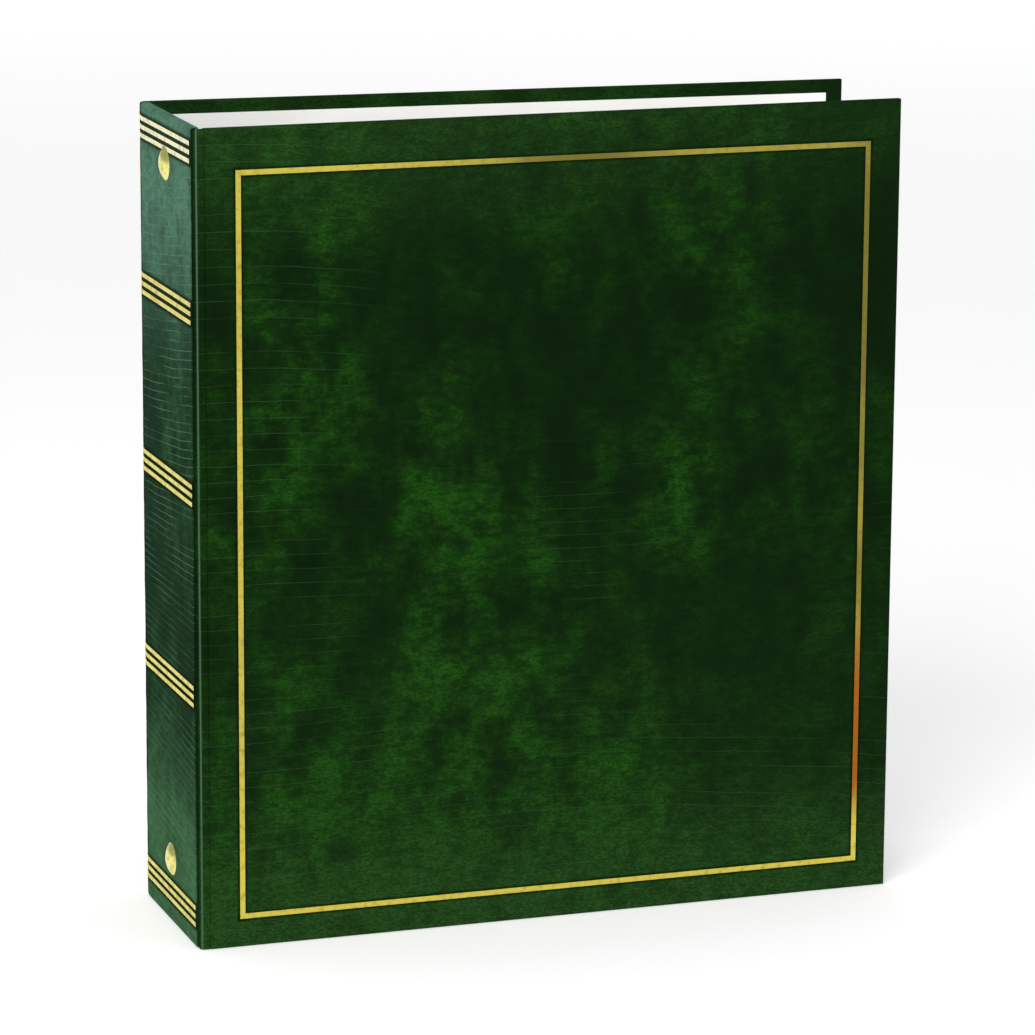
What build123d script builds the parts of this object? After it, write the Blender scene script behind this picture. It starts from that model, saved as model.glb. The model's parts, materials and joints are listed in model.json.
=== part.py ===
from build123d import *
import math
import os

# A standing three-panel ring-binder album for stamps.
# Millimetres. The origin is the middle of the spine panel's foot. +X runs from the spine towards
# the fore edges, -Y is the front cover's side and +Z is up.

# Covers and spine
COVER_HEIGHT = 311.0
COVER_WIDTH = 279.0
SPINE_WIDTH = 78.0
BOARD = 2.4
WRAP = 0.45
WRAP_EDGE_RADIUS = 0.9
ENDPAPER = 0.6
ENDPAPER_EDGE_MARGIN = 5.0
ENDPAPER_FORE_MARGIN = 6.5
ENDPAPER_JOINT_MARGIN = 1.0
JOINT_RADIUS = 4.5
JOINT_RECESS = 0.35
JOINT_THICKNESS = 0.8
JOINT_FLAT_LENGTH = 6.4
BACK_LEAN = 3.5

# Gilt lines
FOIL = 0.08
FRAME_LINE = 2.0
FRAME_SPINE_MARGIN = 17.0
FRAME_FORE_MARGIN = 13.5
FRAME_TOP_MARGIN = 16.5
FRAME_FOOT_MARGIN = 12.0
BAND_COUNT = 5
BAND_LINE = 1.7
BAND_LINE_PITCH = 3.3
BAND_FOOT_MARGIN = 12.0
BAND_HEAD_MARGIN = 9.0
BAND_PITCH_STEP = 8.5
BAND_FRONT_INSET = 0.6

# Ring metal
RING_RISE = 3.5
RING_COVER_GAP = 8.0
RING_RIVET_GAP = 26.0
WIRE_RADIUS = 1.7
WIRE_BEND_RADIUS = 4.0
WIRE_FOOT_INSET = 3.4
RING_TIP_GAP = 0.1
SHIELD_HALF_WIDTH = 16.0
SHIELD_SHOULDER_INSET = 7.8
SHIELD_SIDE_HEIGHT = 3.8
SHIELD_SHOULDER_HEIGHT = 7.8
SHIELD_HEIGHT = 8.6
SHIELD_SIDE_SLOPE = 0.8
SHIELD_THICKNESS = 0.9
SHIELD_LIP = 1.8
SHIELD_END_MARGIN = 11.5
SHIELD_BEND_RADIUS = 2.0
SLOT_CLEARANCE = 0.4
BLADE_THICKNESS = 1.1
BLADE_HEIGHT = 1.9
BLADE_EDGE_INSET = 3.1
BLADE_MID_GAP = 0.3
BLADE_END_GAP = 2.8
RING_OPENING = 7.5

# Rivets that hold the ring metal to the spine
RIVET_END_INSET = 10.0
RIVET_CAP_RADIUS = 6.3
RIVET_CAP_HEIGHT = 2.2
RIVET_SHANK_RADIUS = 2.5
RIVET_HOLE_CLEARANCE = 0.1
RIVET_BLADE_CLEARANCE = 0.8
COLLAR_RADIUS = 4.6
COLLAR_THICKNESS = 1.2

# Opening levers
LEVER_PIN_RADIUS = 1.0
LEVER_PIN_CLEARANCE = 0.05
LEVER_PIN_HEIGHT = 2.7
LEVER_PIN_INSET = 3.0
LEVER_SLEEVE_RADIUS = 2.0
LEVER_TOE_RIVET_GAP = 0.4
LEVER_TOE_HALF_WIDTH = 5.2
LEVER_TOE_THICKNESS = 1.2
LEVER_TOE_GAP = 0.2
LEVER_TAB_HALF_WIDTH = 6.5
LEVER_TAB_THICKNESS = 1.4
LEVER_TAB_LENGTH = 20.0
LEVER_TAB_LEAN = 2.5
LEVER_CURL_RADIUS = 1.7
LEVER_NOTCH_CLEARANCE = 0.6

# Leaves
LEAF_FORE_MARGIN = 8.8
LEAF_END_MARGIN = 16.0
LEAF_THICKNESS = 0.5
LEAF_PITCH = 1.4
LOOSE_LEAVES_PER_SIDE = 2
HOLE_RADIUS = 4.3
HOLE_EDGE_MARGIN = 8.5
HOLE_PLAY = 2.2
STACK_GAP = 0.5
FRONT_LEAF_SPACE = 18.7
BACK_LEAF_CLEARANCE = 2.1

# Clear stamp strips
STRIP_THICKNESS = 0.2
STRIP_COUNT = 6
STRIP_GAP = 10.0
STRIP_END_MARGIN = 15.5
STRIP_SPINE_MARGIN = 18.0
STRIP_FORE_MARGIN = 9.0

# Worked-out places: covers and spine
PANEL = 2 * WRAP + BOARD
SPINE_OUTER = -PANEL / 2
SPINE_INNER = PANEL / 2
FORE_EDGE = SPINE_OUTER + COVER_WIDTH
HALF_SPINE = SPINE_WIDTH / 2
SPINE_PANEL_EDGE = HALF_SPINE - JOINT_RADIUS
COVER_START = SPINE_OUTER + JOINT_RADIUS
COVER_PIVOT_X = COVER_START - JOINT_FLAT_LENGTH / 2
COVER_PIVOT_Y = SPINE_PANEL_EDGE + JOINT_FLAT_LENGTH / 2
BAND_MEAN_PITCH = (COVER_HEIGHT - BAND_FOOT_MARGIN - BAND_HEAD_MARGIN) / (BAND_COUNT - 1)

# Worked-out places: ring metal, seated on the spine's lining
SEAT = SPINE_INNER + ENDPAPER - WRAP
RING_MID_HEIGHT = COVER_HEIGHT / 2 + RING_RISE
SHIELD_HALF_LENGTH = COVER_HEIGHT / 2 - SHIELD_END_MARGIN
SHIELD_SHOULDER = SHIELD_HALF_WIDTH - SHIELD_SHOULDER_INSET
RIVET_REACH = SHIELD_HALF_LENGTH - RIVET_END_INSET
RING_PITCH = RIVET_REACH - RING_RIVET_GAP
RING_HEIGHTS = [RING_MID_HEIGHT + step * RING_PITCH for step in (-1, 0, 1)]
RIVET_HEIGHTS = [RING_MID_HEIGHT + side * RIVET_REACH for side in (-1, 1)]
BLADE_AXIS_OFFSET = SHIELD_HALF_WIDTH - BLADE_EDGE_INSET
BLADE_AXIS_X = SEAT + BLADE_HEIGHT + BLADE_THICKNESS / 2
WIRE_FOOT_OFFSET = BLADE_AXIS_OFFSET - WIRE_FOOT_INSET
WIRE_FOOT_X = SEAT + BLADE_HEIGHT + BLADE_THICKNESS
RING_RADIUS = HALF_SPINE - PANEL - RING_COVER_GAP - WIRE_RADIUS
BEND_X = SEAT + SHIELD_SHOULDER_HEIGHT + SLOT_CLEARANCE
RING_X = BEND_X + math.sqrt(
    (RING_RADIUS + WIRE_BEND_RADIUS) ** 2 - (WIRE_FOOT_OFFSET + WIRE_BEND_RADIUS) ** 2
)
LEVER_PIN_X = SEAT + LEVER_PIN_HEIGHT
LEVER_PIN_REACH = SHIELD_HALF_LENGTH - LEVER_PIN_INSET
LEVER_TOE_LENGTH = LEVER_PIN_REACH - RIVET_REACH - RIVET_SHANK_RADIUS - LEVER_TOE_RIVET_GAP
BLADE_HALF_LENGTH = LEVER_PIN_REACH - BLADE_END_GAP

# Worked-out places: leaves, hung on the rings
HOLE_CIRCLE_RADIUS = RING_RADIUS + HOLE_PLAY
LEAF_START = RING_X + HOLE_CIRCLE_RADIUS - HOLE_EDGE_MARGIN
LEAF_WIDTH = FORE_EDGE - LEAF_FORE_MARGIN - LEAF_START
LEAF_HEIGHT = COVER_HEIGHT - 2 * LEAF_END_MARGIN
LEAF_FOOT = RING_MID_HEIGHT - LEAF_HEIGHT / 2
STRIP_PITCH = (LEAF_HEIGHT - 2 * STRIP_END_MARGIN + STRIP_GAP) / STRIP_COUNT
STRIP_HEIGHT = STRIP_PITCH - STRIP_GAP
LOOSE_REACH = (LOOSE_LEAVES_PER_SIDE - 0.5) * LEAF_PITCH + LEAF_THICKNESS / 2 + STRIP_THICKNESS
STACK_START = LOOSE_REACH + STACK_GAP + STRIP_THICKNESS
FRONT_STACK_END = HALF_SPINE - PANEL - FRONT_LEAF_SPACE
LEAN_REACH = COVER_WIDTH * math.sin(math.radians(BACK_LEAN))
BACK_STACK_END = HALF_SPINE - PANEL - LEAN_REACH - BACK_LEAF_CLEARANCE


def block(x0, x1, y0, y1, z0, z1):
    """A box between two corners."""
    size = Box(x1 - x0, y1 - y0, z1 - z0)
    return Pos((x0 + x1) / 2, (y0 + y1) / 2, (z0 + z1) / 2) * size


def rod_x(radius, x0, x1, y, z):
    """A round rod along X."""
    rod = Rot(0, 90, 0) * Cylinder(radius, x1 - x0)
    return Pos((x0 + x1) / 2, y, z) * rod


def rod_y(radius, half_length, x, z):
    """A round rod along Y, centred on the middle plane."""
    rod = Rot(90, 0, 0) * Cylinder(radius, 2 * half_length)
    return Pos(x, 0, z) * rod


def to_back(shape):
    """Mirror a front piece to the back side."""
    return mirror(shape, about=Plane.XZ)


def lean_back_cover(shape):
    """Mirror a front cover piece to the back and let it lean in towards the fore edge."""
    pivot = Axis((COVER_PIVOT_X, COVER_PIVOT_Y, 0), (0, 0, 1))
    return to_back(shape).rotate(pivot, -BACK_LEAN)


# Covers


def cover_wrap():
    """Leatherette round the cover board: outer sheet, three edges and turned-in border."""
    outer = block(COVER_START, FORE_EDGE, -HALF_SPINE, -HALF_SPINE + PANEL, 0, COVER_HEIGHT)
    outer_edges = outer.faces().sort_by(Axis.Y)[0].edges()
    free_edges = [edge for edge in outer_edges if edge.center().X > COVER_START + WRAP]
    outer = fillet(free_edges, WRAP_EDGE_RADIUS)
    window = block(
        COVER_START,
        FORE_EDGE - ENDPAPER_FORE_MARGIN,
        -HALF_SPINE + WRAP + BOARD,
        -HALF_SPINE + PANEL,
        ENDPAPER_EDGE_MARGIN,
        COVER_HEIGHT - ENDPAPER_EDGE_MARGIN,
    )
    return outer - cover_board() - window


def cover_board():
    """Grey board inside a cover."""
    return block(
        COVER_START,
        FORE_EDGE - WRAP,
        -HALF_SPINE + WRAP,
        -HALF_SPINE + WRAP + BOARD,
        WRAP,
        COVER_HEIGHT - WRAP,
    )


def cover_endpaper():
    """White paper pasted inside a cover, over the board."""
    return block(
        COVER_START + ENDPAPER_JOINT_MARGIN,
        FORE_EDGE - ENDPAPER_FORE_MARGIN,
        -HALF_SPINE + WRAP + BOARD,
        -HALF_SPINE + WRAP + BOARD + ENDPAPER,
        ENDPAPER_EDGE_MARGIN,
        COVER_HEIGHT - ENDPAPER_EDGE_MARGIN,
    )


def frame_foil():
    """Gilt rectangle stamped on the front cover."""
    x0 = SPINE_OUTER + FRAME_SPINE_MARGIN
    x1 = FORE_EDGE - FRAME_FORE_MARGIN
    z0 = FRAME_FOOT_MARGIN
    z1 = COVER_HEIGHT - FRAME_TOP_MARGIN
    half = FRAME_LINE / 2
    outer = block(x0 - half, x1 + half, -HALF_SPINE - FOIL, -HALF_SPINE, z0 - half, z1 + half)
    inner = block(x0 + half, x1 - half, -HALF_SPINE - FOIL, -HALF_SPINE, z0 + half, z1 - half)
    return outer - inner


# Spine


def rivet_holes(radius):
    """Two rods where the rivets pass through the spine."""
    return [rod_x(radius, SPINE_OUTER - PANEL, RING_X, 0, z) for z in RIVET_HEIGHTS]


def drill(shape, rods):
    """Cut each rod out of a shape."""
    for rod in rods:
        shape = shape - rod
    return shape


def spine_board():
    """Grey board inside the spine."""
    board = block(
        SPINE_OUTER + WRAP,
        SPINE_INNER - WRAP,
        -SPINE_PANEL_EDGE,
        SPINE_PANEL_EDGE,
        WRAP,
        COVER_HEIGHT - WRAP,
    )
    return drill(board, rivet_holes(RIVET_SHANK_RADIUS + RIVET_HOLE_CLEARANCE))


def spine_wrap():
    """Leatherette round the spine board, turned in at the head and the foot."""
    outer = block(SPINE_OUTER, SPINE_INNER, -SPINE_PANEL_EDGE, SPINE_PANEL_EDGE, 0, COVER_HEIGHT)
    outer_edges = outer.faces().sort_by(Axis.X)[0].edges().filter_by(Axis.Y)
    outer = fillet(outer_edges, WRAP_EDGE_RADIUS)
    pocket = block(
        SPINE_OUTER + WRAP,
        SPINE_INNER - WRAP,
        -SPINE_PANEL_EDGE,
        SPINE_PANEL_EDGE,
        WRAP,
        COVER_HEIGHT - WRAP,
    )
    window = block(
        SPINE_INNER - WRAP,
        SPINE_INNER,
        -SPINE_PANEL_EDGE,
        SPINE_PANEL_EDGE,
        ENDPAPER_EDGE_MARGIN,
        COVER_HEIGHT - ENDPAPER_EDGE_MARGIN,
    )
    wrap = outer - pocket - window
    return drill(wrap, rivet_holes(RIVET_SHANK_RADIUS + RIVET_HOLE_CLEARANCE))


def spine_lining():
    """Lining inside the spine, under the ring metal."""
    lining = block(
        SPINE_INNER - WRAP,
        SEAT,
        -SPINE_PANEL_EDGE,
        SPINE_PANEL_EDGE,
        ENDPAPER_EDGE_MARGIN,
        COVER_HEIGHT - ENDPAPER_EDGE_MARGIN,
    )
    return drill(lining, rivet_holes(RIVET_SHANK_RADIUS + RIVET_HOLE_CLEARANCE))


def joint_strip(turn):
    """Flexible leatherette corner between the spine and the front cover, over a given turn."""
    outer = JOINT_RADIUS - JOINT_RECESS
    centre = (COVER_START, -SPINE_PANEL_EDGE)
    ring = Circle(outer) - Circle(outer - JOINT_THICKNESS)
    far = 2 * JOINT_RADIUS
    end = math.radians(180 + turn)
    corner = math.radians(180 + turn / 2)
    wedge = Polyline(
        (0, 0),
        (-far, 0),
        (far * math.cos(corner), far * math.sin(corner)),
        (far * math.cos(end), far * math.sin(end)),
        close=True,
    )
    section = ring & make_face(wedge)
    return Pos(centre[0], centre[1], 0) * extrude(section, COVER_HEIGHT)


def band_height(band):
    """Middle of a band, counted from the foot, where each panel is shorter than the one below."""
    graded = BAND_PITCH_STEP * band * (BAND_COUNT - 1 - band) / 2
    return BAND_FOOT_MARGIN + band * BAND_MEAN_PITCH + graded


def spine_bands():
    """Gilt bands of three lines across the spine."""
    lines = []
    for band in range(BAND_COUNT):
        middle = band_height(band)
        for step in (-1, 0, 1):
            z = middle + step * BAND_LINE_PITCH
            line = block(
                SPINE_OUTER - FOIL,
                SPINE_OUTER,
                -SPINE_PANEL_EDGE + BAND_FRONT_INSET,
                SPINE_PANEL_EDGE,
                z - BAND_LINE / 2,
                z + BAND_LINE / 2,
            )
            cap_radius = RIVET_CAP_RADIUS + RIVET_HOLE_CLEARANCE
            lines.append(drill(line, rivet_holes(cap_radius)))
    solids = [solid for line in lines for solid in line.solids()]
    return Compound(children=solids)


# Ring metal


def shield_outline():
    """Cross-section of the shield in the XY plane."""
    points = [
        (0, SHIELD_HALF_WIDTH),
        (SHIELD_SIDE_HEIGHT, SHIELD_HALF_WIDTH - SHIELD_SIDE_SLOPE),
        (SHIELD_SHOULDER_HEIGHT, SHIELD_SHOULDER),
        (SHIELD_HEIGHT, 0),
        (SHIELD_SHOULDER_HEIGHT, -SHIELD_SHOULDER),
        (SHIELD_SIDE_HEIGHT, -SHIELD_HALF_WIDTH + SHIELD_SIDE_SLOPE),
        (0, -SHIELD_HALF_WIDTH),
    ]
    section = make_face(Polyline(*points, close=True))
    bends = [vertex for vertex in section.vertices() if vertex.X > SHIELD_SIDE_HEIGHT / 2]
    return fillet(bends, SHIELD_BEND_RADIUS)


def ring_shield():
    """Arched plate over the blades, with slots for the wires and notches for the levers."""
    outline = shield_outline()
    hollow = offset(outline, -SHIELD_THICKNESS)
    plate = extrude(outline, 2 * SHIELD_HALF_LENGTH) - extrude(hollow, 2 * SHIELD_HALF_LENGTH)
    plate = Pos(SEAT, 0, RING_MID_HEIGHT - SHIELD_HALF_LENGTH) * plate
    half_base = SHIELD_HALF_WIDTH - SHIELD_LIP
    low = RING_MID_HEIGHT - SHIELD_HALF_LENGTH
    high = RING_MID_HEIGHT + SHIELD_HALF_LENGTH
    plate -= block(SEAT, SEAT + SHIELD_SIDE_HEIGHT / 2, -half_base, half_base, low, high)
    half_slot = WIRE_RADIUS + SLOT_CLEARANCE
    slot_top = SEAT + SHIELD_HEIGHT + SHIELD_THICKNESS
    swing = (SHIELD_SHOULDER_HEIGHT - BLADE_HEIGHT) * math.sin(math.radians(RING_OPENING))
    for z in RING_HEIGHTS:
        for side in (-1, 1):
            near = side * (WIRE_FOOT_OFFSET - half_slot)
            far = side * (WIRE_FOOT_OFFSET + half_slot + swing)
            plate -= block(
                WIRE_FOOT_X,
                slot_top,
                min(near, far),
                max(near, far),
                z - half_slot,
                z + half_slot,
            )
    half_notch = LEVER_TAB_HALF_WIDTH + LEVER_NOTCH_CLEARANCE
    notch_depth = LEVER_PIN_INSET + LEVER_SLEEVE_RADIUS + LEVER_NOTCH_CLEARANCE
    for end, inward in ((low, 1), (high, -1)):
        z0, z1 = sorted((end, end + inward * notch_depth))
        plate -= block(SEAT + SHIELD_SIDE_HEIGHT, slot_top, -half_notch, half_notch, z0, z1)
    plate = drill(plate, rivet_holes(RIVET_SHANK_RADIUS + RIVET_HOLE_CLEARANCE))
    for pin in lever_pins():
        plate -= pin
    return plate


def lever_pins():
    """Pins across the shield's ends that the levers turn on."""
    heights = [RING_MID_HEIGHT + side * LEVER_PIN_REACH for side in (1, -1)]
    half = SHIELD_HALF_WIDTH - SHIELD_SIDE_SLOPE * LEVER_PIN_HEIGHT / SHIELD_SIDE_HEIGHT
    return [rod_y(LEVER_PIN_RADIUS, half, LEVER_PIN_X, z) for z in heights]


def spine_rivets():
    """Domed rivets with shanks that run through the spine and the shield."""
    rivets = []
    for z in RIVET_HEIGHTS:
        shank_end = SEAT + SHIELD_HEIGHT + COLLAR_THICKNESS
        shank = rod_x(RIVET_SHANK_RADIUS, SPINE_OUTER - FOIL, shank_end, 0, z)
        dome_radius = (RIVET_CAP_RADIUS ** 2 + RIVET_CAP_HEIGHT ** 2) / (2 * RIVET_CAP_HEIGHT)
        dome_x = SPINE_OUTER - RIVET_CAP_HEIGHT + dome_radius
        dome = Pos(dome_x, 0, z) * Sphere(dome_radius)
        cap_end = SPINE_OUTER - RIVET_CAP_HEIGHT
        cap = dome & rod_x(RIVET_CAP_RADIUS, cap_end, SPINE_OUTER, 0, z)
        rivets.append(cap + shank)
    return Compound(children=[solid for rivet in rivets for solid in rivet.solids()])


def rivet_collars():
    """Rolled collars that hold the shanks, seated on the arch of the shield."""
    collars = []
    for z in RIVET_HEIGHTS:
        low = SEAT + SHIELD_SHOULDER_HEIGHT
        high = SEAT + SHIELD_HEIGHT + COLLAR_THICKNESS
        collar = rod_x(COLLAR_RADIUS, low, high, 0, z) - rod_x(RIVET_SHANK_RADIUS, low, high, 0, z)
        arch = extrude(shield_outline(), 2 * COLLAR_RADIUS)
        collars.append(collar - Pos(SEAT, 0, z - COLLAR_RADIUS) * arch)
    return Compound(children=[solid for collar in collars for solid in collar.solids()])


def front_blade():
    """Spring-steel plate that carries the three front ring halves."""
    low = RING_MID_HEIGHT - BLADE_HALF_LENGTH
    high = RING_MID_HEIGHT + BLADE_HALF_LENGTH
    plate = block(
        SEAT + BLADE_HEIGHT,
        SEAT + BLADE_HEIGHT + BLADE_THICKNESS,
        -BLADE_AXIS_OFFSET,
        -BLADE_MID_GAP / 2,
        low,
        high,
    )
    edge = Cylinder(BLADE_THICKNESS / 2, high - low)
    plate += Pos(BLADE_AXIS_X, -BLADE_AXIS_OFFSET, (low + high) / 2) * edge
    notch = RIVET_SHANK_RADIUS + RIVET_BLADE_CLEARANCE
    for z, end in zip(RIVET_HEIGHTS, (low, high)):
        inner = z + notch if z < RING_MID_HEIGHT else z - notch
        z0, z1 = sorted((inner, end))
        plate -= block(SEAT, WIRE_FOOT_X, -notch, 0, z0, z1)
    return plate


def front_ring_half(z):
    """Front half of one ring: foot, outward bend and half circle to the tip."""
    bend_y = -WIRE_FOOT_OFFSET - WIRE_BEND_RADIUS
    reach = RING_RADIUS / (RING_RADIUS + WIRE_BEND_RADIUS)
    join = (RING_X + (BEND_X - RING_X) * reach, bend_y * reach)
    bend_start = math.radians(90)
    bend_end = math.atan2(join[1] - bend_y, join[0] - BEND_X)
    bend_middle = (bend_start + bend_end) / 2
    bend_point = (
        BEND_X + WIRE_BEND_RADIUS * math.cos(bend_middle),
        bend_y + WIRE_BEND_RADIUS * math.sin(bend_middle),
    )
    tip_angle = -math.asin(RING_TIP_GAP / 2 / RING_RADIUS)
    join_angle = math.atan2(join[1], join[0] - RING_X)
    ring_middle = (tip_angle + join_angle) / 2
    ring_point = (
        RING_X + RING_RADIUS * math.cos(ring_middle),
        RING_RADIUS * math.sin(ring_middle),
    )
    tip = (RING_X + RING_RADIUS * math.cos(tip_angle), RING_RADIUS * math.sin(tip_angle))
    foot = Line((WIRE_FOOT_X, -WIRE_FOOT_OFFSET), (BEND_X, -WIRE_FOOT_OFFSET))
    bend = ThreePointArc((BEND_X, -WIRE_FOOT_OFFSET), bend_point, join)
    arc = ThreePointArc(join, ring_point, tip)
    section = Plane(origin=(WIRE_FOOT_X, -WIRE_FOOT_OFFSET, 0), z_dir=(1, 0, 0)) * Circle(WIRE_RADIUS)
    wire = sweep(section, path=foot + bend + arc)
    return Pos(0, 0, z) * wire


def top_lever():
    """Thumb lever at the head: sleeve on the pin, toe under the blades, curled tab."""
    pin_z = RING_MID_HEIGHT + LEVER_PIN_REACH
    toe_top = SEAT + BLADE_HEIGHT - LEVER_TOE_GAP
    toe = block(
        toe_top - LEVER_TOE_THICKNESS,
        toe_top,
        -LEVER_TOE_HALF_WIDTH,
        LEVER_TOE_HALF_WIDTH,
        pin_z - LEVER_TOE_LENGTH,
        pin_z,
    )
    tab_top = (LEVER_PIN_X + LEVER_TAB_LENGTH, pin_z + LEVER_TAB_LEAN)
    half = LEVER_TAB_THICKNESS / 2
    side = make_face(
        Polyline(
            (LEVER_PIN_X, pin_z - half),
            (tab_top[0], tab_top[1] - half),
            (tab_top[0], tab_top[1] + half),
            (LEVER_PIN_X, pin_z + half),
            close=True,
        )
    )
    tab = extrude(side, LEVER_TAB_HALF_WIDTH, both=True)
    tab = Rot(90, 0, 0) * tab
    sleeve = rod_y(LEVER_SLEEVE_RADIUS, LEVER_TOE_HALF_WIDTH, LEVER_PIN_X, pin_z)
    curl = rod_y(LEVER_CURL_RADIUS, LEVER_TAB_HALF_WIDTH, tab_top[0], tab_top[1])
    lever = sleeve + toe + tab + curl
    bore = LEVER_PIN_RADIUS + LEVER_PIN_CLEARANCE
    return lever - rod_y(bore, LEVER_TAB_HALF_WIDTH, LEVER_PIN_X, pin_z)


def bottom_lever():
    """The head lever, mirrored to the foot."""
    return mirror(top_lever(), about=Plane.XY.offset(RING_MID_HEIGHT))


# Leaves


def hole_tori():
    """The path that every leaf's holes follow round the rings."""
    return [Pos(RING_X, 0, z) * Torus(HOLE_CIRCLE_RADIUS, HOLE_RADIUS) for z in RING_HEIGHTS]


def leaf_edge_x(y):
    """Spine-side edge of a leaf that lies at a distance y from the middle."""
    return RING_X + math.sqrt(HOLE_CIRCLE_RADIUS ** 2 - y ** 2) - HOLE_EDGE_MARGIN


def leaf_body(y0, y1):
    """Leaves between two planes, each with its holes on the rings."""
    middle = (y0 + y1) / 2
    inner = ThreePointArc(
        (leaf_edge_x(y0), y0),
        (leaf_edge_x(middle), middle),
        (leaf_edge_x(y1), y1),
    )
    outer = Pos(LEAF_WIDTH, 0, 0) * inner
    head = Line((leaf_edge_x(y0), y0), (leaf_edge_x(y0) + LEAF_WIDTH, y0))
    tail = Line((leaf_edge_x(y1), y1), (leaf_edge_x(y1) + LEAF_WIDTH, y1))
    section = make_face(Wire([*inner.edges(), *tail.edges(), *outer.edges(), *head.edges()]))
    body = Pos(0, 0, LEAF_FOOT) * extrude(section, LEAF_HEIGHT)
    return drill(body, hole_tori())


def strips(*faces):
    """Clear strips on leaf faces, each face given as its plane and the side it looks to."""
    solids = []
    for y, side in faces:
        y0, y1 = sorted((y, y + side * STRIP_THICKNESS))
        x0 = leaf_edge_x(y) + STRIP_SPINE_MARGIN
        x1 = leaf_edge_x(y) + LEAF_WIDTH - STRIP_FORE_MARGIN
        for step in range(STRIP_COUNT):
            z0 = LEAF_FOOT + STRIP_END_MARGIN + step * STRIP_PITCH
            solids.append(block(x0, x1, y0, y1, z0, z0 + STRIP_HEIGHT))
    return Compound(children=solids)


def build():
    """Every sub-part, by node name."""
    nodes = {
        "front_wrap": cover_wrap(),
        "front_board": cover_board(),
        "front_endpaper": cover_endpaper(),
        "front_frame_foil": frame_foil(),
        "back_wrap": lean_back_cover(cover_wrap()),
        "back_board": lean_back_cover(cover_board()),
        "back_endpaper": lean_back_cover(cover_endpaper()),
        "spine_wrap": spine_wrap(),
        "spine_board": spine_board(),
        "spine_lining": spine_lining(),
        "spine_bands": spine_bands(),
        "front_joint": joint_strip(90),
        "back_joint": to_back(joint_strip(90 - 2 * BACK_LEAN)),
        "ring_shield": ring_shield(),
        "lever_pins": Compound(children=lever_pins()),
        "spine_rivets": spine_rivets(),
        "rivet_collars": rivet_collars(),
        "front_blade": front_blade(),
        "back_blade": to_back(front_blade()),
        "top_lever": top_lever(),
        "bottom_lever": bottom_lever(),
    }
    for name, z in zip(("bottom", "middle", "top"), RING_HEIGHTS):
        half = front_ring_half(z)
        nodes[f"front_ring_{name}"] = half
        nodes[f"back_ring_{name}"] = to_back(half)
    half_leaf = LEAF_THICKNESS / 2
    for number in range(LOOSE_LEAVES_PER_SIDE):
        y = (number + 0.5) * LEAF_PITCH
        for name, side in (("front", -1), ("back", 1)):
            label = f"{name}_leaf_{number + 1}"
            y0, y1 = sorted((side * (y - half_leaf), side * (y + half_leaf)))
            nodes[label] = leaf_body(y0, y1)
            nodes[f"{label}_strips"] = strips((y0, -1), (y1, 1))
    for name, side, end in (("front", -1, FRONT_STACK_END), ("back", 1, BACK_STACK_END)):
        y0, y1 = sorted((side * STACK_START, side * end))
        nodes[f"{name}_leaf_stack"] = leaf_body(y0, y1)
        nodes[f"{name}_stack_strips"] = strips((side * STACK_START, -side))
    return nodes


os.makedirs("parts", exist_ok=True)
for node, shape in build().items():
    export_step(shape, f"parts/{node}.step")
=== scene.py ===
import json
import math
import random

import bmesh
import bpy
from bpy.props import (
    FloatProperty,
    FloatVectorProperty,
    IntProperty,
    PointerProperty,
)
from mathutils import Matrix, Vector, noise


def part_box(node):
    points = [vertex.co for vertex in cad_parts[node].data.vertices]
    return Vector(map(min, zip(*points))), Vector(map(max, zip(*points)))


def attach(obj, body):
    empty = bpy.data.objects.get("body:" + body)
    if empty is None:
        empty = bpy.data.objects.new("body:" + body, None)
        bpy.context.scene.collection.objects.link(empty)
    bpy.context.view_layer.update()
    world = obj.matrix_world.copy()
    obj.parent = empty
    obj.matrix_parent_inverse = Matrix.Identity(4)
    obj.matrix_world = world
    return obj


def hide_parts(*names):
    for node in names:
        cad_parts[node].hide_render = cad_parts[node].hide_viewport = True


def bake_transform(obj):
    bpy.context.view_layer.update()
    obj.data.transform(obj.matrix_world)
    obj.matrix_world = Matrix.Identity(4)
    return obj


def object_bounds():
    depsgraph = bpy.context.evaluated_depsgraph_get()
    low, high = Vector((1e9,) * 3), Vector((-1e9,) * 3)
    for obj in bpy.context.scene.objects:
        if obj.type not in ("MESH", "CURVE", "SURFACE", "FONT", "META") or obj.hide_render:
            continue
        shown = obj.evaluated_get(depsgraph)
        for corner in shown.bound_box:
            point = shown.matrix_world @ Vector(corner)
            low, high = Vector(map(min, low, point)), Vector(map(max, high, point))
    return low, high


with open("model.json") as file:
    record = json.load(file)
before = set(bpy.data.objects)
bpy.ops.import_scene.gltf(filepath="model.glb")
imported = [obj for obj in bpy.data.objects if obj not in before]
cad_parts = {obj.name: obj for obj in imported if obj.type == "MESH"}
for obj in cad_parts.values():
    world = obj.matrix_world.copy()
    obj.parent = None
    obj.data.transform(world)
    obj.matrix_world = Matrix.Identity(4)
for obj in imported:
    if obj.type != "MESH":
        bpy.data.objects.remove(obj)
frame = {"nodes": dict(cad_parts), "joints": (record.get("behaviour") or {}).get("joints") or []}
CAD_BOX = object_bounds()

bl_info = {
    "name": "Ring-binder stamp album",
    "version": (1, 0, 0),
    "blender": (4, 5, 0),
    "location": "3D View > Sidebar > Album",
    "description": "Finishes and fine pieces of a green leatherette stamp album",
    "category": "Object",
}

NODES = frame["nodes"]
SIDES = ("front", "back")
RINGS = ("bottom", "middle", "top")
JOINT_STEPS = 22
JOINT_LEVELS = 104


# Properties


def colour(name, description, default):
    """A colour property."""
    return FloatVectorProperty(
        name=name,
        description=description,
        default=default,
        subtype="COLOR",
        size=3,
        min=0.0,
        max=1.0,
    )


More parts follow.
